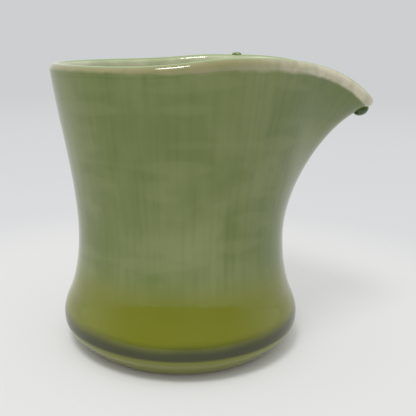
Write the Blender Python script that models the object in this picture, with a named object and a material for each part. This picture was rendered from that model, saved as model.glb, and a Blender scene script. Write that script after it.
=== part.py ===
"""Hand-thrown ceramic pitcher without a handle: a fired clay body and the glaze that coats it.

Lengths are metres, +Z is up, +X points along the pouring spout. The origin is the middle of
the flat base. The outside of the glazed wall is the reference surface: every layer is worked
out from it, as a depth below it.
"""

import math

import bmesh
import bpy
from mathutils import Vector

# --- Outside of the wall, from the base up: height, radius and slope (radius per height) ---
FOOT_RADIUS = 0.0374
FOOT_SLOPE = 1.0
BEVEL_HEIGHT = 0.0070
BEVEL_RADIUS = 0.0443
BEVEL_SLOPE = 0.70
BULGE_HEIGHT = 0.0112
BULGE_RADIUS = 0.0452
SWEEP_HEIGHT = 0.0220
SWEEP_RADIUS = 0.0417
SWEEP_SLOPE = -0.30
WAIST_HEIGHT = 0.0430
WAIST_RADIUS = 0.0388
WALL_HEIGHT = 0.1017
RIM_RADIUS = 0.0466
RIM_SLOPE = 0.12

# --- Wall, floor and glaze ---
WALL_AT_LIP = 0.0042
WALL_AT_FOOT = 0.0056
FLOOR_THICKNESS = 0.0075
FLOOR_RADIUS = 0.0220
GLAZE = 0.0005
GAP = 0.0003
GLAZE_FOOT_CLEARANCE = 0.0008
LIP_BAND = 0.0008

# --- Spout, pulled out of the wall towards +X ---
SPOUT_START = 0.0429
SPOUT_REACH = 0.0207
SPOUT_REACH_POWER = 1.59
SPOUT_HALF_ANGLE = math.radians(20.0)
SPOUT_NARROWING = 1.5
SPOUT_DROP = 0.0132
SPOUT_DROP_POWER = 3.32
BEAK_REACH = 0.0010
BEAK_REACH_POWER = 12.0

# --- Rim: two shoulders beside the spout, the one at -Y a little higher than the one at +Y ---
SHOULDER_RISE = 0.00233
SHOULDER_REACH = 0.0170
SHOULDER_WIDTH = 0.0205
RIM_FALL_POWER = 3.37
RISE_TILT = 0.23
REACH_TILT = 0.10
FALL_TILT = 0.16

# --- Drops of glaze ---
DRIP_BELOW_LIP = 0.0046
DRIP_HALF_LENGTH = 0.0034
DRIP_HALF_WIDTH = 0.0022
DRIP_THICKNESS = 0.0016
BEAD_ANGLE = math.radians(59.5)
BEAD_HALF_LENGTH = 0.0022
BEAD_HALF_TURN = math.radians(32.0)
BEAD_THICKNESS = 0.0010

# --- Fineness of the mesh ---
COLUMNS = 48
COLUMN_CROWDING = 0.45
BULGE_RINGS = 2
SWEEP_RINGS = 3
WAIST_RINGS = 3
WALL_RINGS = 8
RING_MARGIN = 0.0005
LIP_STEPS = 4
COVE_STEPS = 4
DROP_SIDES = 14
DROP_RINGS = 3

# --- Steps for reading the slope of the wall, and the edge that stays sharp ---
SLOPE_STEP = 0.0002
SLOPE_TURN = 0.002
COVE_SLOPE_STEP = 0.001
SHARP_ANGLE = math.radians(40.0)


def hermite(share, span, start, start_slope, end, end_slope):
    """Return a smooth value between two ends whose slopes are known."""
    square = share * share
    cube = square * share
    value = start * (2 * cube - 3 * square + 1)
    value += end * (3 * square - 2 * cube)
    value += span * start_slope * (cube - 2 * square + share)
    value += span * end_slope * (cube - square)
    return value


def outline():
    """Return the outside of the thrown wall as (height, radius, slope) from the base up."""
    return (
        (0.0, FOOT_RADIUS, FOOT_SLOPE),
        (BEVEL_HEIGHT, BEVEL_RADIUS, BEVEL_SLOPE),
        (BULGE_HEIGHT, BULGE_RADIUS, 0.0),
        (SWEEP_HEIGHT, SWEEP_RADIUS, SWEEP_SLOPE),
        (WAIST_HEIGHT, WAIST_RADIUS, 0.0),
        (WALL_HEIGHT, RIM_RADIUS, RIM_SLOPE),
    )


def thrown_radius(height):
    """Return the outside radius at a height, before the spout is pulled."""
    points = outline()
    for (low, radius, slope), (high, next_radius, next_slope) in zip(points, points[1:]):
        if height <= high:
            break
    span = high - low
    return hermite((height - low) / span, span, radius, slope, next_radius, next_slope)


def spout_share(angle):
    """Return how much of the pull reaches a direction: 1 at the spout, 0 at the back."""
    share = (1.0 + (angle / SPOUT_HALF_ANGLE) ** 2) ** -SPOUT_NARROWING
    least = (1.0 + (math.pi / SPOUT_HALF_ANGLE) ** 2) ** -SPOUT_NARROWING
    return (share - least) / (1.0 - least)


def rim_lift(angle):
    """Return how far the rim stands above the thrown height, negative at the spout's tip."""
    side = -math.sin(angle)
    rise = SHOULDER_RISE * (1.0 + RISE_TILT * side)
    shoulder = SHOULDER_REACH * (1.0 + REACH_TILT * side)
    along = (RIM_RADIUS + SPOUT_REACH * spout_share(angle)) * math.cos(angle)
    if along < shoulder:
        return rise * math.exp(-(((along - shoulder) / SHOULDER_WIDTH) ** 2))
    share = (along - shoulder) / (RIM_RADIUS + SPOUT_REACH - shoulder)
    return rise - (rise + SPOUT_DROP) * share ** (RIM_FALL_POWER * (1.0 - FALL_TILT * side))


def outside(height, angle):
    """Return a point on the outside of the glazed wall, with the spout pulled."""
    pull = max(0.0, (height - SPOUT_START) / (WALL_HEIGHT - SPOUT_START))
    reach = SPOUT_REACH * pull ** SPOUT_REACH_POWER + BEAK_REACH * pull ** BEAK_REACH_POWER
    radius = thrown_radius(height) + reach * spout_share(angle)
    lifted = height + rim_lift(angle) * pull ** SPOUT_DROP_POWER
    return Vector((radius * math.cos(angle), radius * math.sin(angle), lifted))


def wall_frame(height, angle):
    """Return the outside point, the outward normal and the direction up the wall."""
    below = outside(max(0.0, height - SLOPE_STEP), angle)
    above = outside(min(WALL_HEIGHT, height + SLOPE_STEP), angle)
    up = (above - below).normalized()
    around = outside(height, angle + SLOPE_TURN) - outside(height, angle - SLOPE_TURN)
    normal = around.cross(up).normalized()
    return outside(height, angle), normal, up


def wall_thickness(height):
    """Return the whole wall's thickness, glaze included."""
    return WALL_AT_FOOT + (WALL_AT_LIP - WALL_AT_FOOT) * height / WALL_HEIGHT


def on_wall(height, depth):
    """Return a ring that follows the wall at a height, at a depth below its outside."""

    def place(angle):
        point, normal, _ = wall_frame(height, angle)
        return point - normal * depth

    return place


def inside_wall(height, depth):
    """Return a ring at a height, at a depth below the inside surface of the wall."""
    return on_wall(height, wall_thickness(height) - depth)


def on_lip(turn, depth):
    """Return a ring on the round lip: turn 0 is outside, a half turn is inside."""

    def place(angle):
        point, normal, up = wall_frame(WALL_HEIGHT, angle)
        half = WALL_AT_LIP / 2
        middle = point - normal * half
        return middle + (normal * math.cos(turn) + up * math.sin(turn)) * (half - depth)

    return place


def plain_ring(radius, height):
    """Return a level circle about the axis."""

    def place(angle):
        return Vector((radius * math.cos(angle), radius * math.sin(angle), height))

    return place


def cove_rings(depth):
    """Return the rings from the wall's inside down to the floor, at a depth below them."""
    start = inside_wall(SWEEP_HEIGHT, depth)(math.pi)
    upper = inside_wall(SWEEP_HEIGHT + COVE_SLOPE_STEP, depth)(math.pi)
    start_radius = math.hypot(start.x, start.y)
    lean = (start_radius - math.hypot(upper.x, upper.y)) / (upper.z - start.z)
    floor = FLOOR_THICKNESS - depth
    corner_radius = start_radius + lean * (start.z - floor)
    rings = []
    for step in range(1, COVE_STEPS + 1):
        share = step / COVE_STEPS
        keep = 1.0 - share
        radius = keep * keep * start_radius
        radius += 2 * keep * share * corner_radius
        radius += share * share * FLOOR_RADIUS
        height = keep * keep * start.z + (1.0 - keep * keep) * floor
        rings.append(plain_ring(radius, height))
    return rings


def spread(low, high, steps):
    """Return evenly spaced heights above low, up to and including high."""
    return [low + (high - low) * step / steps for step in range(1, steps + 1)]


def wall_heights(low, high):
    """Return the heights of the rings between two heights, both ends included."""
    heights = [BEVEL_HEIGHT]
    heights += spread(BEVEL_HEIGHT, BULGE_HEIGHT, BULGE_RINGS)
    heights += spread(BULGE_HEIGHT, SWEEP_HEIGHT, SWEEP_RINGS)
    heights += spread(SWEEP_HEIGHT, WAIST_HEIGHT, WAIST_RINGS)
    heights += spread(WAIST_HEIGHT, WALL_HEIGHT, WALL_RINGS)
    low_end = low + RING_MARGIN
    high_end = high - RING_MARGIN
    return [low] + [height for height in heights if low_end < height < high_end] + [high]


def lip_turns():
    """Return the turns of the rings over the lip, from the outside to the inside."""
    return [math.pi * step / LIP_STEPS for step in range(LIP_STEPS + 1)]


def column_angles():
    """Return the directions of the mesh's columns, crowded together at the spout."""
    angles = []
    for column in range(COLUMNS):
        even = math.tau * column / COLUMNS
        angles.append(even - COLUMN_CROWDING * math.sin(even))
    return [math.remainder(angle, math.tau) for angle in angles]


def fired_material(name, color, roughness):
    """Return clay or glaze as it comes out of the kiln."""
    material = bpy.data.materials.new(name)
    material.use_nodes = True
    shader = material.node_tree.nodes["Principled BSDF"]
    shader.inputs["Base Color"].default_value = (*color, 1.0)
    shader.inputs["Roughness"].default_value = roughness
    shader.inputs["Metallic"].default_value = 0.0
    return material


def add_object(name, mesh_data, material):
    """Turn finished mesh data into a named object with its material."""
    mesh = bpy.data.meshes.new(name)
    mesh_data.to_mesh(mesh)
    mesh_data.free()
    mesh.materials.append(material)
    mesh.shade_smooth()
    mesh.set_sharp_from_angle(angle=SHARP_ANGLE)
    obj = bpy.data.objects.new(name, mesh)
    bpy.context.scene.collection.objects.link(obj)
    return obj


def add_band(mesh_data, lower, upper):
    """Join two rings with triangles whose diagonals all rise the same way."""
    count = len(lower)
    rising = sum(v.co.z for v in upper) >= sum(v.co.z for v in lower)
    for column in range(count):
        following = (column + 1) % count
        a, b = lower[column], lower[following]
        c, d = upper[following], upper[column]
        if rising:
            mesh_data.faces.new((a, b, c))
            mesh_data.faces.new((a, c, d))
        else:
            mesh_data.faces.new((a, b, d))
            mesh_data.faces.new((b, c, d))


def turned_body(name, rings, material, closed):
    """Skin rings into one body: closed joins the last ring to the first, else caps both."""
    mesh_data = bmesh.new()
    angles = column_angles()
    rows = []
    for place in rings:
        rows.append([mesh_data.verts.new(place(angle)) for angle in angles])
    for lower, upper in zip(rows, rows[1:]):
        add_band(mesh_data, lower, upper)
    if closed:
        add_band(mesh_data, rows[-1], rows[0])
    else:
        mesh_data.faces.new(list(reversed(rows[0])))
        mesh_data.faces.new(rows[-1])
    return add_object(name, mesh_data, material)


def clay_body():
    """The thrown and fired clay: floor, wall, pulled spout and round lip."""
    skin = GLAZE + GAP
    rings = [plain_ring(FOOT_RADIUS - skin * math.hypot(1.0, FOOT_SLOPE), 0.0)]
    rings += [on_wall(height, skin) for height in wall_heights(BEVEL_HEIGHT, WALL_HEIGHT)]
    rings += [on_lip(turn, skin) for turn in lip_turns()[1:]]
    heights = wall_heights(SWEEP_HEIGHT, WALL_HEIGHT)
    rings += [inside_wall(height, skin) for height in reversed(heights[:-1])]
    rings += cove_rings(skin)
    material = fired_material("fired_clay", (0.66, 0.58, 0.45), 0.80)
    return turned_body("clay_body", rings, material, closed=False)


def outer_glaze():
    """The coat on the outside, from just above the table to the foot of the lip."""
    heights = wall_heights(GLAZE_FOOT_CLEARANCE, WALL_HEIGHT - LIP_BAND)
    rings = [on_wall(height, GLAZE) for height in reversed(heights)]
    rings += [on_wall(height, 0.0) for height in heights]
    material = fired_material("green_glaze", (0.22, 0.27, 0.08), 0.08)
    return turned_body("outer_glaze", rings, material, closed=True)


def inner_glaze():
    """The coat on the inside, from the foot of the lip down the wall and over the floor."""
    heights = wall_heights(SWEEP_HEIGHT, WALL_HEIGHT - LIP_BAND)
    front = [inside_wall(height, 0.0) for height in reversed(heights)] + cove_rings(0.0)
    back = [inside_wall(height, GLAZE) for height in reversed(heights)] + cove_rings(GLAZE)
    material = fired_material("liner_glaze", (0.40, 0.44, 0.22), 0.10)
    return turned_body("inner_glaze", list(reversed(back)) + front, material, closed=False)


def lip_glaze():
    """The thin coat over the lip, where the glaze breaks to a pale band."""
    low = WALL_HEIGHT - LIP_BAND + GAP
    turns = lip_turns()[1:-1]
    front = [on_wall(low, 0.0), on_wall(WALL_HEIGHT, 0.0)]
    front += [on_lip(turn, 0.0) for turn in turns]
    front += [inside_wall(WALL_HEIGHT, 0.0), inside_wall(low, 0.0)]
    back = [inside_wall(low, GLAZE), inside_wall(WALL_HEIGHT, GLAZE)]
    back += [on_lip(turn, GLAZE) for turn in reversed(turns)]
    back += [on_wall(WALL_HEIGHT, GLAZE), on_wall(low, GLAZE)]
    material = fired_material("breaking_glaze", (0.62, 0.60, 0.36), 0.12)
    return turned_body("lip_glaze", front + back, material, closed=True)


def drop_body(name, surface_point, material):
    """Make a drop on a surface: a flat back that follows it and a domed front."""
    mesh_data = bmesh.new()
    center_back = mesh_data.verts.new(surface_point(0.0, 0.0, 0.0))
    center_front = mesh_data.verts.new(surface_point(0.0, 0.0, 1.0))
    backs = []
    fronts = []
    for ring in range(1, DROP_RINGS + 1):
        share = ring / DROP_RINGS
        dome = math.sqrt(max(0.0, 1.0 - share * share))
        back_row = []
        front_row = []
        for side in range(DROP_SIDES):
            turn = math.tau * side / DROP_SIDES
            across = share * math.cos(turn)
            along = share * math.sin(turn)
            back_row.append(mesh_data.verts.new(surface_point(across, along, 0.0)))
            if ring < DROP_RINGS:
                front_row.append(mesh_data.verts.new(surface_point(across, along, dome)))
        backs.append(back_row)
        fronts.append(front_row if front_row else back_row)
    for center, rows in ((center_back, backs), (center_front, fronts)):
        first = rows[0]
        for side in range(DROP_SIDES):
            following = (side + 1) % DROP_SIDES
            mesh_data.faces.new((center, first[side], first[following]))
            for inner, outer in zip(rows, rows[1:]):
                corners = (inner[side], outer[side], outer[following], inner[following])
                mesh_data.faces.new(corners)
    bmesh.ops.recalc_face_normals(mesh_data, faces=mesh_data.faces)
    return add_object(name, mesh_data, material)


def spout_glaze_drip():
    """The thick drop that hangs below the lip at the spout's tip."""
    middle = WALL_HEIGHT - DRIP_BELOW_LIP
    width_angle = DRIP_HALF_WIDTH / outside(middle, 0.0).x

    def surface_point(across, along, dome):
        height = middle + along * DRIP_HALF_LENGTH
        point, normal, _ = wall_frame(height, across * width_angle)
        return point + normal * (GAP + dome * DRIP_THICKNESS)

    material = fired_material("pooled_glaze", (0.06, 0.11, 0.05), 0.06)
    return drop_body("spout_glaze_drip", surface_point, material)


def rim_glaze_bead():
    """The small bead that dried on top of the rim, beside the spout."""
    length_angle = BEAD_HALF_LENGTH / RIM_RADIUS

    def surface_point(across, along, dome):
        turn = math.pi / 2 + across * BEAD_HALF_TURN
        raised = -(GAP + dome * BEAD_THICKNESS)
        return on_lip(turn, raised)(BEAD_ANGLE + along * length_angle)

    material = fired_material("bead_glaze", (0.25, 0.30, 0.08), 0.06)
    return drop_body("rim_glaze_bead", surface_point, material)


def clear_scene():
    """Remove every object that the scene starts with."""
    for obj in list(bpy.data.objects):
        bpy.data.objects.remove(obj)


def main():
    clear_scene()
    clay_body()
    outer_glaze()
    inner_glaze()
    lip_glaze()
    spout_glaze_drip()
    rim_glaze_bead()


main()
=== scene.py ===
"""A glazed, hand-thrown pitcher without a handle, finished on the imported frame.

Lengths are metres, +Z is up, +X points along the pouring spout, and the origin is the middle of
the flat base. Every coat of glaze is worked out from the outside of the glazed wall.
"""

import math

import bpy
import numpy as np
from mathutils import Matrix


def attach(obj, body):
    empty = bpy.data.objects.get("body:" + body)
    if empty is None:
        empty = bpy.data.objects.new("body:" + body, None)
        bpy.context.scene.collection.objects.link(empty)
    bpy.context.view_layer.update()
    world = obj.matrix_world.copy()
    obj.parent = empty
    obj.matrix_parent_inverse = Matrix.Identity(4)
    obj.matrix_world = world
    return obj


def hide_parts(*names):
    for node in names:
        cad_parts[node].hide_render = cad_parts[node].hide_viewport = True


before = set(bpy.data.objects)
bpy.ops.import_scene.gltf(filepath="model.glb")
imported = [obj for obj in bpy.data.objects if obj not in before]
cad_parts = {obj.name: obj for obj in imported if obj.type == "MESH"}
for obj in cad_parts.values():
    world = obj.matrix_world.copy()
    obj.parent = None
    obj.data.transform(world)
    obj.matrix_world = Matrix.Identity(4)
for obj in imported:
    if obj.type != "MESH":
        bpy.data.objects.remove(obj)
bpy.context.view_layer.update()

bl_info = {
    "name": "Thrown Pitcher",
    "version": (1, 0, 0),
    "blender": (4, 5, 0),
    "location": "3D View > Sidebar > Pitcher",
    "description": "Throws a pitcher with a pulled spout, glazes it and lights it",
    "category": "Add Mesh",
}

# --- Fineness of the meshes ---
COLUMNS = 192
COLUMN_CROWDING = 0.45
RING_STEP = 0.00075
CLAY_STEP = 0.0015
LIP_STEPS = 20
COVE_STEPS = 14
FLOOR_STEP = 0.0012

# --- Small distances used to read the slope of the wall ---
SLOPE_STEP = 0.0002
SLOPE_TURN = 0.002

# --- The lamp: place and width in metres, power in watts ---
LAMP_PLACE = (-0.15, -0.35, 0.80)
LAMP_SIZE = 0.25
LAMP_POWER = 3.0


def length(name, description, default):
    """Return a size in metres that the sidebar shows."""
    return bpy.props.FloatProperty(
        name=name, description=description, default=default, precision=5, unit="LENGTH"
    )


def share(name, description, default):
    """Return a plain number that the sidebar shows."""
    return bpy.props.FloatProperty(name=name, description=description, default=default)


def turn(name, description, degrees):
    """Return an angle that the sidebar shows."""
    return bpy.props.FloatProperty(
        name=name, description=description, default=math.radians(degrees), unit="ROTATION"
    )


def colour(name, description, default):
    """Return a colour that the sidebar shows."""
    return bpy.props.FloatVectorProperty(
        name=name, description=description, default=default, size=3, subtype="COLOR"
    )


class ThrownForm(bpy.types.PropertyGroup):
    """The outside of the wall as it leaves the wheel."""

    foot_radius: length("Foot radius", "Radius of the flat base", 0.0374)
    foot_slope: share("Foot slope", "How fast the bevel widens at the table", 1.0)
    bevel_height: length("Bevel height", "Top of the bevel cut at the foot", 0.0070)
    bevel_radius: length("Bevel radius", "Radius at the top of the bevel", 0.0443)
    bevel_slope: share("Bevel slope", "How fast the wall widens at the bevel's top", 0.70)
    bulge_height: length("Bulge height", "Height of the widest part of the foot", 0.0112)
    bulge_radius: length("Bulge radius", "Radius of the widest part of the foot", 0.0452)
    sweep_height: length("Sweep height", "Height where the foot sweeps into the waist", 0.0220)
    sweep_radius: length("Sweep radius", "Radius where the foot sweeps into the waist", 0.0417)
    sweep_slope: share("Sweep slope", "How fast the wall narrows in the sweep", -0.30)
    waist_height: length("Waist height", "Height of the narrowest part", 0.0430)
    waist_radius: length("Waist radius", "Radius of the narrowest part", 0.0388)
    wall_height: length("Wall height", "Height of the wall below its round lip", 0.1017)
    rim_radius: length("Rim radius", "Radius of the wall at the rim", 0.0466)
    rim_slope: share("Rim slope", "How fast the wall widens at the rim", 0.12)
    wall_at_lip: length("Wall at the lip", "Thickness of the glazed wall at the lip", 0.0042)
    wall_at_foot: length("Wall at the foot", "Thickness of the glazed wall at the foot", 0.0056)
    floor_thickness: length("Floor thickness", "Thickness of the glazed floor", 0.0075)
    floor_radius: length("Floor radius", "Radius where the floor turns up", 0.0220)
    ridge: length("Throwing ridge", "Height of the ridges that the fingers leave", 0.000014)


class PulledSpout(bpy.types.PropertyGroup):
    """The spout, pulled out of the wall towards +X, and the shoulders beside it."""

    start: length("Start", "Height where the pull begins", 0.0429)
    reach: length("Reach", "How far the tip stands out from the rim", 0.0207)
    reach_power: share("Reach power", "How late the pull comes out of the wall", 1.59)
    half_angle: turn("Half angle", "Half of the spout's spread", 20.0)
    narrowing: share("Narrowing", "How quickly the pull fades to the sides", 1.5)
    drop: length("Drop", "How far the tip hangs below the rim", 0.0132)
    drop_power: share("Drop power", "How late the tip turns down", 3.32)
    beak_reach: length("Beak reach", "How far the edge of the tip curls out", 0.0010)
    beak_power: share("Beak power", "How late the edge curls out", 12.0)
    shoulder_rise: length("Shoulder rise", "How far the shoulders stand up", 0.00233)
    shoulder_reach: length("Shoulder reach", "Where the shoulders stand along X", 0.0170)
    shoulder_width: length("Shoulder width", "How wide the shoulders spread", 0.0205)
    fall_power: share("Fall power", "How late the rim falls to the tip", 3.37)
    rise_tilt: share("Rise tilt", "How much higher the -Y shoulder is", 0.23)
    reach_tilt: share("Reach tilt", "How much further out the -Y shoulder is", 0.10)
    fall_tilt: share("Fall tilt", "How much later the -Y side falls", 0.16)


class GlazeCoats(bpy.types.PropertyGroup):
    """Thicknesses of the coats and the places of the drops."""

    thickness: length("Thickness", "Thickness of each coat of glaze", 0.0005)
    gap: length("Gap", "Distance kept between a coat and the clay", 0.0003)
    foot_clearance: length("Foot clearance", "Bare clay above the table", 0.0008)
    lip_band: length("Lip band", "How far the lip's coat laps down the wall", 0.0010)
    drip_below_lip: length("Drip below lip", "Middle of the drip, below the lip", 0.0032)
    drip_half_length: length("Drip half length", "Half of the drip's length", 0.0034)
    drip_half_width: length("Drip half width", "Half of the drip's width", 0.0028)
    drip_thickness: length("Drip thickness", "How far the drip stands out", 0.0022)
    bead_angle: turn("Bead angle", "Direction of the bead from the spout", 59.5)
    bead_half_length: length("Bead half length", "Half of the bead's length", 0.0022)
    bead_half_turn: turn("Bead half turn", "Half of the bead's width over the lip", 32.0)
    bead_thickness: length("Bead thickness", "How far the bead stands up", 0.0010)


class GlazeColours(bpy.types.PropertyGroup):
    """The colours of the clay and of the copper glaze, thin and thick."""

    thin: colour("Thin glaze", "Glaze where it ran thin over ridges", (0.190, 0.225, 0.075))
    body: colour("Glaze", "Glaze at its usual thickness", (0.120, 0.160, 0.030))
    thick: colour("Thick glaze", "Glaze where it pooled", (0.040, 0.072, 0.002))
    # Foot glaze: partly glaze pooled above the foot, partly painted shade; it is darker than the
    # thick glaze to stand for the shade and dark reflection along the bulge.
    foot: colour("Foot glaze", "Glaze that collected above the foot", (0.028, 0.034, 0.001))
    amber: colour("Amber glaze", "Glaze that broke to yellow", (0.158, 0.170, 0.002))
    crest: colour("Crest glaze", "Glaze on top of the lip", (0.240, 0.340, 0.120))
    breaking: colour("Breaking glaze", "Glaze that broke under the lip", (0.270, 0.250, 0.125))
    buff: colour("Buff glaze", "Glaze that broke under the spout's lip", (0.700, 0.650, 0.490))
    liner: colour("Liner glaze", "Glaze on the inside", (0.640, 0.670, 0.470))
    clay: colour("Fired clay", "Bare clay at the foot", (0.60, 0.50, 0.36))


class StudioSettings(bpy.types.PropertyGroup):
    """The camera, the floor and the light."""

    camera_back: length("Camera distance", "Camera's distance in front of the axis", 0.2313)
    camera_height: length("Camera height", "Camera's height above the table", 0.1124)
    camera_tilt: turn("Camera tilt", "How far the camera looks down", 15.15)
    camera_roll: turn("Camera roll", "How far the camera is turned about its axis", 0.25)
    focal_length: share("Focal length", "Focal length in millimetres", 54.31)
    shift: share("Shift", "Sideways shift of the picture", 0.0654)
    floor_colour: colour("Floor", "Colour of the floor near the pitcher", (0.765, 0.765, 0.755))
    middle_colour: colour("Middle floor", "Colour of the floor behind it", (0.69, 0.70, 0.71))
    far_colour: colour("Distance", "Colour of the far floor and wall", (0.61, 0.625, 0.63))
    shadow_fill: share("Shadow fill", "How much the floor glows under the shadow", 0.5)
    gloss_light: share("Gloss light", "How bright the front is in the glaze", 0.35)
    back_light: share("Back light", "How bright the back is in the glaze", 1.0)


# --- The wall as a surface: a height and a direction give a point ---


def hermite(along, span, start, start_slope, end, end_slope):
    """Return a smooth value between two ends whose slopes are known."""
    square = along * along
    cube = square * along
    value = start * (2 * cube - 3 * square + 1)
    value = value + end * (3 * square - 2 * cube)
    value = value + span * start_slope * (cube - 2 * square + along)
    return value + span * end_slope * (cube - square)


def thrown_radius(form, height):
    """Return the outside radius at each height, before the spout is pulled."""
    outline = (
        (0.0, form.foot_radius, form.foot_slope),
        (form.bevel_height, form.bevel_radius, form.bevel_slope),
        (form.bulge_height, form.bulge_radius, 0.0),
        (form.sweep_height, form.sweep_radius, form.sweep_slope),
        (form.waist_height, form.waist_radius, 0.0),
        (form.wall_height, form.rim_radius, form.rim_slope),
    )
    radius = np.zeros_like(height)
    for (low, start, start_slope), (high, end, end_slope) in zip(outline, outline[1:]):
        span = high - low
        value = hermite((height - low) / span, span, start, start_slope, end, end_slope)
        radius = np.where(height >= low, value, radius)
    return radius


def finger_ridges(height, angle):
    """Return the ridges of the throwing fingers, from -1 to 1, fading at the foot."""
    wander = 0.6 * np.sin(angle + 0.7) + 0.4 * np.sin(2 * angle + 2.1)
    climb = angle / math.tau
    coarse = np.sin(math.tau * (height / 0.0085 + climb) + wander)
    middle = np.sin(math.tau * (height / 0.0057 - climb) + 1.3 * wander + 1.0)
    fine = np.sin(math.tau * height / 0.0024 + 2 * wander)
    lumps = np.sin(3 * angle + height / 0.011) * np.sin(5 * angle - height / 0.007 + 1.0)
    dents = np.sin(9 * angle + height / 0.0021) * np.sin(4 * angle - height / 0.013)
    fade = np.clip((height - 0.012) / 0.012, 0.0, 1.0)
    return fade * (0.4 * coarse + 0.25 * middle + 0.03 * fine + 0.9 * lumps + 0.25 * dents)


def spout_share(spout, angle):
    """Return how much of the pull reaches a direction: 1 at the spout, 0 at the back."""
    pulled = (1.0 + (angle / spout.half_angle) ** 2) ** -spout.narrowing
    least = (1.0 + (math.pi / spout.half_angle) ** 2) ** -spout.narrowing
    return (pulled - least) / (1.0 - least)


def rim_lift(form, spout, angle):
    """Return how far the rim stands above the thrown height, negative at the tip."""
    side = -np.sin(angle)
    rise = spout.shoulder_rise * (1.0 + spout.rise_tilt * side)
    shoulder = spout.shoulder_reach * (1.0 + spout.reach_tilt * side)
    along = (form.rim_radius + spout.reach * spout_share(spout, angle)) * np.cos(angle)
    behind = rise * np.exp(-(((along - shoulder) / spout.shoulder_width) ** 2))
    past = np.maximum(0.0, along - shoulder) / (form.rim_radius + spout.reach - shoulder)
    power = spout.fall_power * (1.0 - spout.fall_tilt * side)
    return np.where(along < shoulder, behind, rise - (rise + spout.drop) * past**power)


def outside(form, spout, height, angle):
    """Return points on the outside of the glazed wall, with the spout pulled."""
    height = np.broadcast_to(height, angle.shape)
    pull = np.maximum(0.0, (height - spout.start) / (form.wall_height - spout.start))
    reach = spout.reach * pull**spout.reach_power + spout.beak_reach * pull**spout.beak_power
    radius = thrown_radius(form, height) + reach * spout_share(spout, angle)
    fade = np.clip((form.wall_height - height) / 0.004, 0.0, 1.0)
    radius = radius + fade * form.ridge * finger_ridges(height, angle)
    lifted = height + rim_lift(form, spout, angle) * pull**spout.drop_power
    return np.stack((radius * np.cos(angle), radius * np.sin(angle), lifted), axis=-1)


def unit(vectors):
    """Return vectors of length one."""
    return vectors / np.linalg.norm(vectors, axis=-1, keepdims=True)


def wall_frame(form, spout, height, angle):
    """Return the outside points, the outward normals and the directions up the wall."""
    low = max(0.0, height - SLOPE_STEP)
    high = min(form.wall_height, height + SLOPE_STEP)
    up = unit(outside(form, spout, high, angle) - outside(form, spout, low, angle))
    after = outside(form, spout, height, angle + SLOPE_TURN)
    before = outside(form, spout, height, angle - SLOPE_TURN)
    normal = unit(np.cross(after - before, up))
    return outside(form, spout, height, angle), normal, up


def wall_thickness(form, height):
    """Return the whole wall's thickness, glaze included."""
    return form.wall_at_foot + (form.wall_at_lip - form.wall_at_foot) * height / form.wall_height


# --- Rings: how each ring of a piece is placed, and where it lies on the wall ---


class Ring:
    """One ring of a piece, its height on the wall and its distance from the lip's crest."""

    def __init__(self, place, height, from_crest):
        self.place = place
        self.height = height
        self.from_crest = from_crest


def wall_ring(form, spout, height, depth):
    """Return a ring that follows the wall at a height, at a depth below its outside."""

    def place(angle):
        point, normal, _ = wall_frame(form, spout, height, angle)
        return point - normal * depth

    crest = math.pi / 2 * form.wall_at_lip / 2
    return Ring(place, height, form.wall_height - height + crest)


def inside_ring(form, spout, height, depth):
    """Return a ring at a height, at a depth below the inside surface of the wall."""
    ring = wall_ring(form, spout, height, wall_thickness(form, height) - depth)
    return Ring(ring.place, height, -ring.from_crest)


def lip_ring(form, spout, roll, depth):
    """Return a ring on the round lip: roll 0 is outside, a half turn is inside."""

    def place(angle):
        point, normal, up = wall_frame(form, spout, form.wall_height, angle)
        half = form.wall_at_lip / 2
        middle = point - normal * half
        return middle + (normal * math.cos(roll) + up * math.sin(roll)) * (half - depth)

    half = form.wall_at_lip / 2
    height = form.wall_height + half * math.sin(roll)
    return Ring(place, height, (math.pi / 2 - roll) * half)


def level_ring(form, radius, height):
    """Return a level circle about the axis."""

    def place(angle):
        level = np.full_like(angle, height)
        return np.stack((radius * np.cos(angle), radius * np.sin(angle), level), axis=-1)

    return Ring(place, height, height - form.wall_height)


def cove_rings(form, spout, depth):
    """Return the rings from the wall's inside down to the floor and its middle."""
    back = np.array([math.pi])
    start = inside_ring(form, spout, form.sweep_height, depth).place(back)[0]
    upper = inside_ring(form, spout, form.sweep_height + 0.001, depth).place(back)[0]
    start_radius = math.hypot(start[0], start[1])
    lean = (start_radius - math.hypot(upper[0], upper[1])) / (upper[2] - start[2])
    floor = form.floor_thickness - depth
    corner = start_radius + lean * (start[2] - floor)
    rings = []
    for step in range(1, COVE_STEPS + 1):
        along = step / COVE_STEPS
        keep = 1.0 - along
        radius = keep * keep * start_radius + 2 * keep * along * corner
        radius += along * along * form.floor_radius
        height = keep * keep * start[2] + (1.0 - keep * keep) * floor
        rings.append(level_ring(form, radius, height))
    steps = int(form.floor_radius / FLOOR_STEP)
    for step in range(1, steps + 1):
        radius = form.floor_radius * (1.0 - step / (steps + 0.5))
        swell = form.ridge * math.sin(math.tau * radius / 0.006) * min(1.0, radius / 0.006)
        rings.append(level_ring(form, radius, floor + swell))
    return rings


def heights_between(low, high, step):
    """Return evenly spaced heights, both ends included."""
    count = max(1, round((high - low) / step))
    return [float(height) for height in np.linspace(low, high, count + 1)]


# --- Making the pieces ---


def column_angles():
    """Return the directions of a mesh's columns, crowded together at the spout."""
    even = math.tau * np.arange(COLUMNS) / COLUMNS
    angles = even - COLUMN_CROWDING * np.sin(even)
    return (angles + math.pi) % math.tau - math.pi


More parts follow.
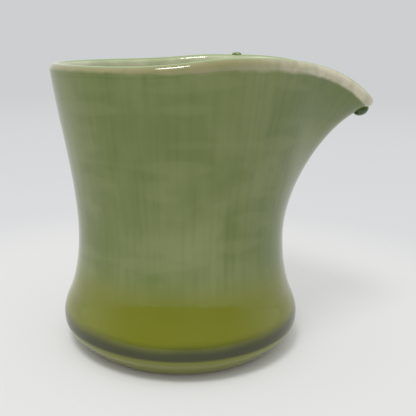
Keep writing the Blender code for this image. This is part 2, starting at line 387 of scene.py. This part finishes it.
def raise_rings(name, profile):
    """Raise a tube ring by ring from a circle, each ring at its own radius and height."""
    first_radius, first_height = profile[0]
    bpy.ops.object.select_all(action="DESELECT")
    bpy.ops.mesh.primitive_circle_add(
        vertices=COLUMNS, radius=first_radius, location=(0.0, 0.0, first_height)
    )
    body = bpy.context.active_object
    body.name = name
    body.data.name = name
    bpy.ops.object.mode_set(mode="EDIT")
    bpy.ops.mesh.select_all(action="SELECT")
    for (radius, height), (next_radius, next_height) in zip(profile, profile[1:]):
        climb = (0.0, 0.0, next_height - height)
        grow = next_radius / radius
        bpy.ops.mesh.extrude_region_move(TRANSFORM_OT_translate={"value": climb})
        bpy.ops.transform.resize(value=(grow, grow, 1.0))
    bpy.ops.object.mode_set(mode="OBJECT")
    bpy.ops.object.transform_apply(location=True, rotation=True, scale=True)
    return body


def read_places(mesh):
    """Return a mesh's vertex places as an array."""
    places = np.zeros(len(mesh.vertices) * 3)
    mesh.vertices.foreach_get("co", places)
    return places.reshape(-1, 3)


def close_end(body, rows, row):
    """Close one end of a tube with a face over the ring of that row."""
    chosen = rows == row
    bpy.ops.object.mode_set(mode="EDIT")
    bpy.ops.mesh.select_mode(type="VERT")
    bpy.ops.mesh.select_all(action="DESELECT")
    bpy.ops.object.mode_set(mode="OBJECT")
    body.data.vertices.foreach_set("select", chosen)
    bpy.ops.object.mode_set(mode="EDIT")
    bpy.ops.mesh.edge_face_add()
    bpy.ops.object.mode_set(mode="OBJECT")


def store(mesh, name, kind, field, values):
    """Store one value for each vertex as a named attribute."""
    layer = mesh.attributes.new(name, kind, "POINT")
    layer.data.foreach_set(field, values.astype(np.float32).ravel())


def throw_piece(context, name, rings, closed_ends=(), outwards=True):
    """Throw a piece from its rings, pull its spout and give it its maps for the glaze."""
    form = context.scene.thrown_form
    back = np.array([math.pi])
    profile = []
    for ring in rings:
        x, y, z = ring.place(back)[0]
        profile.append((math.hypot(x, y), z))
    body = raise_rings(name, profile)
    mesh = body.data
    plain = read_places(mesh)
    radii = np.hypot(plain[:, 0], plain[:, 1])
    table = np.array(profile)
    misses = (radii[:, None] - table[:, 0]) ** 2 + (plain[:, 2, None] - table[:, 1]) ** 2
    rows = misses.argmin(axis=1)
    even = np.arctan2(plain[:, 1], plain[:, 0])
    columns = np.round(even * COLUMNS / math.tau).astype(int) % COLUMNS
    angles = column_angles()
    grid = np.array([ring.place(angles) for ring in rings])
    mesh.vertices.foreach_set("co", grid[rows, columns].ravel())
    for row in closed_ends:
        close_end(body, rows, row)
    angle = angles[columns]
    height = np.array([ring.height for ring in rings])[rows]
    crest = np.array([ring.from_crest for ring in rings])[rows]
    reach = form.rim_radius * np.minimum(1.0, table[rows, 0] / form.floor_radius)
    around = (reach * np.cos(angle), reach * np.sin(angle), height)
    store(mesh, "glaze_map", "FLOAT_VECTOR", "vector", np.stack(around, axis=-1))
    store(mesh, "from_crest", "FLOAT", "value", crest)
    store(mesh, "ridge", "FLOAT", "value", finger_ridges(height, angle))
    face_right_way(body, outwards)
    return body


def face_right_way(body, outwards):
    """Make the faces agree, then turn them all away from the axis or all towards it."""
    bpy.ops.object.mode_set(mode="EDIT")
    bpy.ops.mesh.select_all(action="SELECT")
    bpy.ops.mesh.normals_make_consistent(inside=False)
    bpy.ops.object.mode_set(mode="OBJECT")
    facing = 0.0
    for face in body.data.polygons:
        facing += face.area * (face.normal.x * face.center.x + face.normal.y * face.center.y)
    if (facing > 0.0) != outwards:
        bpy.ops.object.mode_set(mode="EDIT")
        bpy.ops.mesh.select_all(action="SELECT")
        bpy.ops.mesh.flip_normals()
        bpy.ops.object.mode_set(mode="OBJECT")


def thicken(body, thickness):
    """Give a coat its thickness, below the surface that shows."""
    coat = body.modifiers.new("Coat", "SOLIDIFY")
    coat.thickness = thickness
    coat.offset = -1.0
    coat.use_even_offset = True
    bpy.context.view_layer.objects.active = body
    bpy.ops.object.modifier_apply(modifier=coat.name)


def finish_piece(body, material, node):
    """Smooth a piece, give it its material and put it in the frame."""
    bpy.ops.object.select_all(action="DESELECT")
    body.select_set(True)
    bpy.context.view_layer.objects.active = body
    bpy.ops.object.shade_smooth_by_angle(angle=math.radians(40.0))
    body.data.materials.clear()
    body.data.materials.append(material)
    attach(body, "root")
    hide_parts(node)


# --- Materials ---


class Recipe:
    """A material's node tree, with short calls that add nodes and join them."""

    def __init__(self, name):
        self.material = bpy.data.materials.new(name)
        self.material.use_nodes = True
        self.tree = self.material.node_tree
        self.shader = self.tree.nodes["Principled BSDF"]

    def node(self, kind, **settings):
        """Add a node and set its own settings."""
        added = self.tree.nodes.new(kind)
        for setting, value in settings.items():
            setattr(added, setting, value)
        return added

    def feed(self, source, socket):
        """Join an output to an input, or set the input's value."""
        if isinstance(source, bpy.types.NodeSocket):
            self.tree.links.new(source, socket)
        else:
            socket.default_value = source

    def attribute(self, name, output):
        """Return an output of one of the piece's own maps."""
        return self.node("ShaderNodeAttribute", attribute_name=name).outputs[output]

    def math(self, operation, first, second=0.0, third=0.0):
        """Return a sum worked out by a Math node."""
        added = self.node("ShaderNodeMath", operation=operation)
        for source, socket in zip((first, second, third), added.inputs):
            self.feed(source, socket)
        return added.outputs[0]

    def ramp(self, value, low, high, start=0.0, end=1.0):
        """Return a value that goes smoothly from start to end between low and high."""
        added = self.node("ShaderNodeMapRange", interpolation_type="SMOOTHSTEP")
        self.feed(value, added.inputs["Value"])
        self.feed(low, added.inputs["From Min"])
        self.feed(high, added.inputs["From Max"])
        self.feed(start, added.inputs["To Min"])
        self.feed(end, added.inputs["To Max"])
        return added.outputs["Result"]

    def blend(self, amount, first, second, kind="MIX"):
        """Return a mix of two colours."""
        added = self.node("ShaderNodeMix", data_type="RGBA", blend_type=kind)
        self.feed(amount, added.inputs[0])
        for source, socket in ((first, added.inputs[6]), (second, added.inputs[7])):
            if not isinstance(source, bpy.types.NodeSocket):
                source = (*source, 1.0)
            self.feed(source, socket)
        return added.outputs[2]

    def stretched(self, vector, scale):
        """Return a vector whose axes are scaled."""
        added = self.node("ShaderNodeMapping")
        self.feed(vector, added.inputs["Vector"])
        self.feed(scale, added.inputs["Scale"])
        return added.outputs["Vector"]

    def noise(self, vector, size, detail=3.0, rough=0.5, wander=0.0):
        """Return a cloudy value whose lumps are about size across."""
        added = self.node("ShaderNodeTexNoise")
        self.feed(vector, added.inputs["Vector"])
        self.feed(1.0 / size, added.inputs["Scale"])
        self.feed(detail, added.inputs["Detail"])
        self.feed(rough, added.inputs["Roughness"])
        self.feed(wander, added.inputs["Distortion"])
        return added.outputs[0]

    def cells(self, vector, size, output="Distance", feature="F1"):
        """Return a value that grows from the middle of scattered cells."""
        added = self.node("ShaderNodeTexVoronoi", feature=feature)
        self.feed(vector, added.inputs["Vector"])
        self.feed(1.0 / size, added.inputs["Scale"])
        return added.outputs[output]

    def bump(self, height, distance, below=None):
        """Return a normal that a height field tilts."""
        added = self.node("ShaderNodeBump")
        self.feed(height, added.inputs["Height"])
        self.feed(distance, added.inputs["Distance"])
        self.feed(1.0, added.inputs["Strength"])
        if below is not None:
            self.feed(below, added.inputs["Normal"])
        return added.outputs["Normal"]


def glaze_surface(recipe, place, rough=0.07):
    """Give a recipe the glassy skin of a glaze, with its waves and pinholes."""
    waves = recipe.noise(place, 0.006, detail=2.0)
    pits = recipe.cells(place, 0.0042)
    pit = recipe.ramp(pits, 0.03, 0.09, 0.0, 1.0)
    skin = recipe.bump(waves, 0.00005)
    skin = recipe.bump(pit, 0.00006, skin)
    recipe.feed(skin, recipe.shader.inputs["Normal"])
    dull = recipe.ramp(recipe.noise(place, 0.012), 0.3, 0.7, rough - 0.02, rough + 0.03)
    recipe.feed(dull, recipe.shader.inputs["Roughness"])
    recipe.shader.inputs["IOR"].default_value = 1.6


def copper_glaze(context, name):
    """Copper-green glaze: it pooled at the foot, ran down the wall and broke at the lip; the
    band above the foot also carries painted shade.
    """
    tones = context.scene.glaze_colours
    recipe = Recipe(name)
    place = recipe.attribute("glaze_map", "Vector")
    crest = recipe.attribute("from_crest", "Fac")
    ridge = recipe.attribute("ridge", "Fac")
    axes = recipe.node("ShaderNodeSeparateXYZ")
    recipe.feed(place, axes.inputs[0])
    spoutward = recipe.ramp(axes.outputs["X"], -0.025, 0.020)
    height = axes.outputs["Z"]
    cloud = recipe.noise(place, 0.030, detail=4.0, wander=0.4)
    runs = recipe.noise(recipe.stretched(place, (1.0, 1.0, 0.05)), 0.0022, detail=4.0)

    tone = recipe.blend(recipe.ramp(cloud, 0.35, 0.7), tones.body, tones.thin)
    tone = recipe.blend(recipe.ramp(runs, 0.40, 0.75, 0.0, 0.18), tone, tones.thick)
    tone = recipe.blend(recipe.ramp(ridge, 0.1, 0.9, 0.0, 0.35), tone, tones.thin)
    tone = recipe.blend(recipe.ramp(height, 0.038, 0.024, 0.0, 0.9), tone, tones.amber)
    # Band about 9 to 14 mm up, above the foot: pooled glaze painted extra dark as the shade
    # along the bulge.
    wavy = recipe.math("ADD", height, recipe.math("MULTIPLY", cloud, -0.003))
    foot_pool_and_shade = recipe.math(
        "MULTIPLY", recipe.ramp(wavy, 0.0145, 0.0095), recipe.ramp(height, 0.0085, 0.0098)
    )
    tone = recipe.blend(foot_pool_and_shade, tone, tones.foot)

    lining = recipe.blend(recipe.ramp(cloud, 0.3, 0.7, 0.0, 0.5), tones.liner, tones.thin)
    lining = recipe.blend(recipe.ramp(ridge, 0.1, 0.9, 0.0, 0.2), lining, tones.body)
    tone = recipe.blend(recipe.ramp(crest, -0.0008, -0.0022), tone, lining)

    ragged = recipe.math("MULTIPLY", recipe.noise(place, 0.006, detail=4.0), 0.0016)
    edge = recipe.math("ADD", ragged, recipe.math("MULTIPLY", spoutward, 0.0020))
    below = recipe.math("SUBTRACT", crest, edge)
    outside_break = recipe.ramp(below, 0.0024, 0.0012)
    over = recipe.ramp(crest, -0.0022, -0.0008)
    broken = recipe.math("MULTIPLY", outside_break, over)
    mottle = recipe.noise(place, 0.004, detail=4.0)
    buff = recipe.blend(recipe.ramp(axes.outputs["X"], 0.012, 0.060), tones.breaking, tones.buff)
    pale = recipe.blend(recipe.ramp(mottle, 0.4, 0.7, 0.0, 0.4), buff, tones.thin)
    pale = recipe.blend(recipe.ramp(crest, 0.0012, 0.0004), pale, tones.crest)
    tone = recipe.blend(broken, tone, pale)
    recipe.feed(tone, recipe.shader.inputs["Base Color"])
    glaze_surface(recipe, place)
    return recipe.material


def pooled_glaze(context, name, tone):
    """Thick glaze in a drop, darker in cloudy patches."""
    recipe = Recipe(name)
    place = recipe.node("ShaderNodeTexCoord").outputs["Object"]
    cloud = recipe.noise(place, 0.003, detail=3.0)
    thick = context.scene.glaze_colours.thick
    mixed = recipe.blend(recipe.ramp(cloud, 0.35, 0.7, 0.0, 0.6), tone, thick)
    recipe.feed(mixed, recipe.shader.inputs["Base Color"])
    glaze_surface(recipe, place, 0.06)
    return recipe.material


def fired_clay(context):
    """Bare clay, grainy and matt."""
    tones = context.scene.glaze_colours
    recipe = Recipe("fired_clay_body")
    place = recipe.node("ShaderNodeTexCoord").outputs["Object"]
    grain = recipe.noise(place, 0.0012, detail=6.0, rough=0.65)
    dark = tuple(value * 0.7 for value in tones.clay)
    tone = recipe.blend(recipe.ramp(grain, 0.4, 0.7), tones.clay, dark)
    recipe.feed(tone, recipe.shader.inputs["Base Color"])
    recipe.feed(recipe.bump(grain, 0.0001), recipe.shader.inputs["Normal"])
    recipe.shader.inputs["Roughness"].default_value = 0.85
    return recipe.material


# --- Operators ---


class PITCHER_OT_outside_glaze(bpy.types.Operator):
    """Lay the coat of glaze on the outside of the wall"""

    bl_idname = "pitcher.outside_glaze"
    bl_label = "Outside glaze"

    def execute(self, context):
        form = context.scene.thrown_form
        spout = context.scene.pulled_spout
        coats = context.scene.glaze_coats
        low = coats.foot_clearance
        high = form.wall_height - coats.lip_band + 0.0002
        rings = []
        for height in heights_between(low, high, RING_STEP):
            tuck = coats.thickness * 0.15 if high - height < RING_STEP / 2 else 0.0
            rings.append(wall_ring(form, spout, height, tuck))
        body = throw_piece(context, "outside_glaze_coat", rings)
        thicken(body, coats.thickness)
        material = copper_glaze(context, "copper_green_glaze")
        finish_piece(body, material, "outer_glaze")
        return {"FINISHED"}


class PITCHER_OT_inside_glaze(bpy.types.Operator):
    """Lay the coat of glaze down the inside of the wall and over the floor"""

    bl_idname = "pitcher.inside_glaze"
    bl_label = "Inside glaze"

    def execute(self, context):
        form = context.scene.thrown_form
        spout = context.scene.pulled_spout
        coats = context.scene.glaze_coats
        high = form.wall_height - coats.lip_band + 0.0002
        rings = []
        for height in reversed(heights_between(form.sweep_height, high, RING_STEP)):
            tuck = coats.thickness * 0.15 if high - height < RING_STEP / 2 else 0.0
            rings.append(inside_ring(form, spout, height, tuck))
        rings += cove_rings(form, spout, 0.0)
        last = len(rings) - 1
        body = throw_piece(context, "inside_glaze_coat", rings, (last,), outwards=False)
        thicken(body, coats.thickness)
        finish_piece(body, copper_glaze(context, "pale_liner_glaze"), "inner_glaze")
        return {"FINISHED"}


class PITCHER_OT_lip_glaze(bpy.types.Operator):
    """Lay the thin coat over the round lip"""

    bl_idname = "pitcher.lip_glaze"
    bl_label = "Lip glaze"

    def execute(self, context):
        form = context.scene.thrown_form
        spout = context.scene.pulled_spout
        coats = context.scene.glaze_coats
        low = form.wall_height - coats.lip_band
        heights = heights_between(low, form.wall_height, RING_STEP / 2)
        rings = [wall_ring(form, spout, height, 0.0) for height in heights]
        for step in range(1, LIP_STEPS):
            rings.append(lip_ring(form, spout, math.pi * step / LIP_STEPS, 0.0))
        rings += [inside_ring(form, spout, height, 0.0) for height in reversed(heights)]
        body = throw_piece(context, "lip_glaze_coat", rings)
        thicken(body, coats.thickness)
        material = copper_glaze(context, "breaking_lip_glaze")
        finish_piece(body, material, "lip_glaze")
        return {"FINISHED"}


class PITCHER_OT_clay(bpy.types.Operator):
    """Throw the clay wall and floor under the glaze"""

    bl_idname = "pitcher.clay"
    bl_label = "Clay"

    def execute(self, context):
        form = context.scene.thrown_form
        spout = context.scene.pulled_spout
        coats = context.scene.glaze_coats
        skin = coats.thickness + coats.gap
        base = form.foot_radius - skin * math.hypot(1.0, form.foot_slope)
        rings = []
        steps = int(base / CLAY_STEP)
        for step in range(1, steps + 1):
            rings.append(level_ring(form, base * step / (steps + 0.5), 0.0))
        rings.append(level_ring(form, base, 0.0))
        outer = heights_between(form.bevel_height, form.wall_height, CLAY_STEP)
        rings += [wall_ring(form, spout, height, skin) for height in outer]
        for step in range(1, LIP_STEPS):
            rings.append(lip_ring(form, spout, math.pi * step / LIP_STEPS, skin))
        inner = heights_between(form.sweep_height, form.wall_height, CLAY_STEP)
        rings += [inside_ring(form, spout, height, skin) for height in reversed(inner)]
        rings += cove_rings(form, spout, skin)
        body = throw_piece(context, "thrown_clay", rings, (0, len(rings) - 1))
        finish_piece(body, fired_clay(context), "clay_body")
        return {"FINISHED"}


def shape_drop(name, place):
    """Shape a drop of glaze from a ball: its upper half domes, its lower half lies flat."""
    bpy.ops.object.select_all(action="DESELECT")
    bpy.ops.mesh.primitive_uv_sphere_add(segments=48, ring_count=24, radius=1.0)
    body = bpy.context.active_object
    body.name = name
    body.data.name = name
    ball = read_places(body.data)
    dome = np.where(ball[:, 2] > 0.0, ball[:, 2], 0.0)
    moved = [place(across, along, up) for (across, along, _), up in zip(ball, dome)]
    body.data.vertices.foreach_set("co", np.array(moved).ravel())
    body.data.update()
    return body


class PITCHER_OT_drip(bpy.types.Operator):
    """Hang the thick drop below the lip at the spout's tip"""

    bl_idname = "pitcher.drip"
    bl_label = "Spout drip"

    def execute(self, context):
        form = context.scene.thrown_form
        spout = context.scene.pulled_spout
        coats = context.scene.glaze_coats
        middle = form.wall_height - coats.drip_below_lip
        tip = outside(form, spout, middle, np.zeros(1))[0]
        half_turn = coats.drip_half_width / tip[0]

        def place(across, along, dome):
            height = middle + along * coats.drip_half_length
            angle = np.array([across * half_turn])
            point, normal, _ = wall_frame(form, spout, height, angle)
            return point[0] + normal[0] * dome * coats.drip_thickness

        body = shape_drop("spout_drip", place)
        tone = context.scene.glaze_colours.thick
        material = pooled_glaze(context, "pooled_drip_glaze", tone)
        finish_piece(body, material, "spout_glaze_drip")
        return {"FINISHED"}


class PITCHER_OT_bead(bpy.types.Operator):
    """Set the small bead that dried on top of the rim"""

    bl_idname = "pitcher.bead"
    bl_label = "Rim bead"

    def execute(self, context):
        form = context.scene.thrown_form
        spout = context.scene.pulled_spout
        coats = context.scene.glaze_coats
        half_turn = coats.bead_half_length / form.rim_radius

        def place(across, along, dome):
            roll = math.pi / 2 + across * coats.bead_half_turn
            angle = np.array([coats.bead_angle + along * half_turn])
            ring = lip_ring(form, spout, roll, -dome * coats.bead_thickness)
            return ring.place(angle)[0]

        body = shape_drop("rim_bead", place)
        tone = context.scene.glaze_colours.crest
        material = pooled_glaze(context, "rim_bead_glaze", tone)
        finish_piece(body, material, "rim_glaze_bead")
        return {"FINISHED"}


# --- Stage ---


def floor_material(studio):
    """Pale floor that fades into the distance without an edge."""
    recipe = Recipe("pale_floor")
    tree = recipe.tree
    place = recipe.node("ShaderNodeTexCoord").outputs["Object"]
    size = recipe.node("ShaderNodeVectorMath", operation="LENGTH")
    recipe.feed(place, size.inputs[0])
    away = size.outputs["Value"]
    tone = recipe.blend(recipe.ramp(away, 0.11, 0.20), studio.floor_colour, studio.middle_colour)
    tone = recipe.blend(recipe.ramp(away, 0.20, 1.20), tone, studio.far_colour)
    lit = recipe.node("ShaderNodeBsdfDiffuse")
    recipe.feed(tone, lit.inputs["Color"])
    even = recipe.node("ShaderNodeEmission")
    recipe.feed(tone, even.inputs["Color"])
    mixed = recipe.node("ShaderNodeMixShader")
    glow = recipe.ramp(away, 0.10, 0.60, studio.shadow_fill, 1.0)
    glow = recipe.math("MULTIPLY", glow, recipe.ramp(away, 0.036, 0.058))
    recipe.feed(glow, mixed.inputs[0])
    tree.links.new(lit.outputs[0], mixed.inputs[1])
    tree.links.new(even.outputs[0], mixed.inputs[2])
    tree.links.new(mixed.outputs[0], tree.nodes["Material Output"].inputs["Surface"])
    return recipe.material


def light_world(studio):
    """Light everything softly from all round; the gloss sees a darker front than back."""
    world = bpy.data.worlds.new("soft_white_room")
    bpy.context.scene.world = world
    world.use_nodes = True
    tree = world.node_tree
    background = tree.nodes["Background"]
    path = tree.nodes.new("ShaderNodeLightPath")
    facing = tree.nodes.new("ShaderNodeTexCoord")
    axes = tree.nodes.new("ShaderNodeSeparateXYZ")
    tree.links.new(facing.outputs["Generated"], axes.inputs[0])
    front = tree.nodes.new("ShaderNodeMapRange")
    front.interpolation_type = "SMOOTHSTEP"
    tree.links.new(axes.outputs["Y"], front.inputs["Value"])
    front.inputs["From Min"].default_value = 0.3
    front.inputs["From Max"].default_value = -0.8
    front.inputs["To Min"].default_value = studio.back_light
    front.inputs["To Max"].default_value = studio.gloss_light
    gloss = tree.nodes.new("ShaderNodeMapRange")
    tree.links.new(path.outputs["Is Glossy Ray"], gloss.inputs["Value"])
    gloss.inputs["To Min"].default_value = 1.0
    tree.links.new(front.outputs["Result"], gloss.inputs["To Max"])
    tree.links.new(gloss.outputs["Result"], background.inputs["Strength"])
    seen = tree.nodes.new("ShaderNodeMix")
    seen.data_type = "RGBA"
    tree.links.new(path.outputs["Is Camera Ray"], seen.inputs[0])
    seen.inputs[6].default_value = (0.80, 0.80, 0.80, 1.0)
    seen.inputs[7].default_value = (*studio.far_colour, 1.0)
    tree.links.new(seen.outputs[2], background.inputs["Color"])


def soft_lamp(name, place, size, power):
    """Hang a large soft lamp that points at the pitcher."""
    bpy.ops.object.light_add(type="AREA", location=place)
    lamp = bpy.context.active_object
    lamp.name = name
    lamp.data.shape = "DISK"
    lamp.data.size = size
    lamp.data.energy = power
    aim = Matrix.Translation((0.0, 0.0, 0.05)).to_translation() - lamp.location
    lamp.rotation_euler = aim.to_track_quat("-Z", "Y").to_euler()
    return lamp


class PITCHER_OT_studio(bpy.types.Operator):
    """Set the floor, the light and the camera"""

    bl_idname = "pitcher.studio"
    bl_label = "Studio"

    def execute(self, context):
        studio = context.scene.studio_settings
        bpy.ops.object.select_all(action="DESELECT")
        bpy.ops.mesh.primitive_circle_add(vertices=128, radius=6.0, fill_type="NGON")
        floor = context.active_object
        floor.name = "studio_floor"
        floor.data.materials.append(floor_material(studio))
        light_world(studio)
        soft_lamp("overhead_lamp", LAMP_PLACE, LAMP_SIZE, LAMP_POWER)
        tilt = Matrix.Rotation(math.pi / 2 - studio.camera_tilt, 3, "X")
        roll = Matrix.Rotation(studio.camera_roll, 3, "Z")
        place = (0.0, -studio.camera_back, studio.camera_height)
        bpy.ops.object.camera_add(location=place, rotation=(tilt @ roll).to_euler())
        camera = context.active_object
        camera.name = "studio_camera"
        camera.data.lens = studio.focal_length
        camera.data.shift_x = studio.shift
        camera.data.clip_start = 0.01
        context.scene.camera = camera
        context.scene.view_settings.view_transform = "Standard"
        return {"FINISHED"}


class PITCHER_PT_panel(bpy.types.Panel):
    """The pitcher's sizes, colours and steps"""

    bl_idname = "PITCHER_PT_panel"
    bl_label = "Pitcher"
    bl_space_type = "VIEW_3D"
    bl_region_type = "UI"
    bl_category = "Pitcher"

    def draw(self, context):
        layout = self.layout
        for group in SETTINGS:
            settings = getattr(context.scene, group)
            column = layout.column(align=True)
            for name in settings.__annotations__:
                column.prop(settings, name)
        for step in STEPS:
            layout.operator(step.bl_idname)


SETTINGS = {
    "thrown_form": ThrownForm,
    "pulled_spout": PulledSpout,
    "glaze_coats": GlazeCoats,
    "glaze_colours": GlazeColours,
    "studio_settings": StudioSettings,
}

STEPS = (
    PITCHER_OT_clay,
    PITCHER_OT_outside_glaze,
    PITCHER_OT_inside_glaze,
    PITCHER_OT_lip_glaze,
    PITCHER_OT_drip,
    PITCHER_OT_bead,
    PITCHER_OT_studio,
)


def register():
    for name, group in SETTINGS.items():
        bpy.utils.register_class(group)
        setattr(bpy.types.Scene, name, bpy.props.PointerProperty(type=group))
    for step in STEPS:
        bpy.utils.register_class(step)
    bpy.utils.register_class(PITCHER_PT_panel)


def unregister():
    bpy.utils.unregister_class(PITCHER_PT_panel)
    for step in reversed(STEPS):
        bpy.utils.unregister_class(step)
    for name, group in SETTINGS.items():
        delattr(bpy.types.Scene, name)
        bpy.utils.unregister_class(group)


def main():
    """Make the pitcher step by step."""
    register()
    bpy.ops.pitcher.clay()
    bpy.ops.pitcher.outside_glaze()
    bpy.ops.pitcher.inside_glaze()
    bpy.ops.pitcher.lip_glaze()
    bpy.ops.pitcher.drip()
    bpy.ops.pitcher.bead()
    bpy.ops.pitcher.studio()


if __name__ == "__main__":
    main()
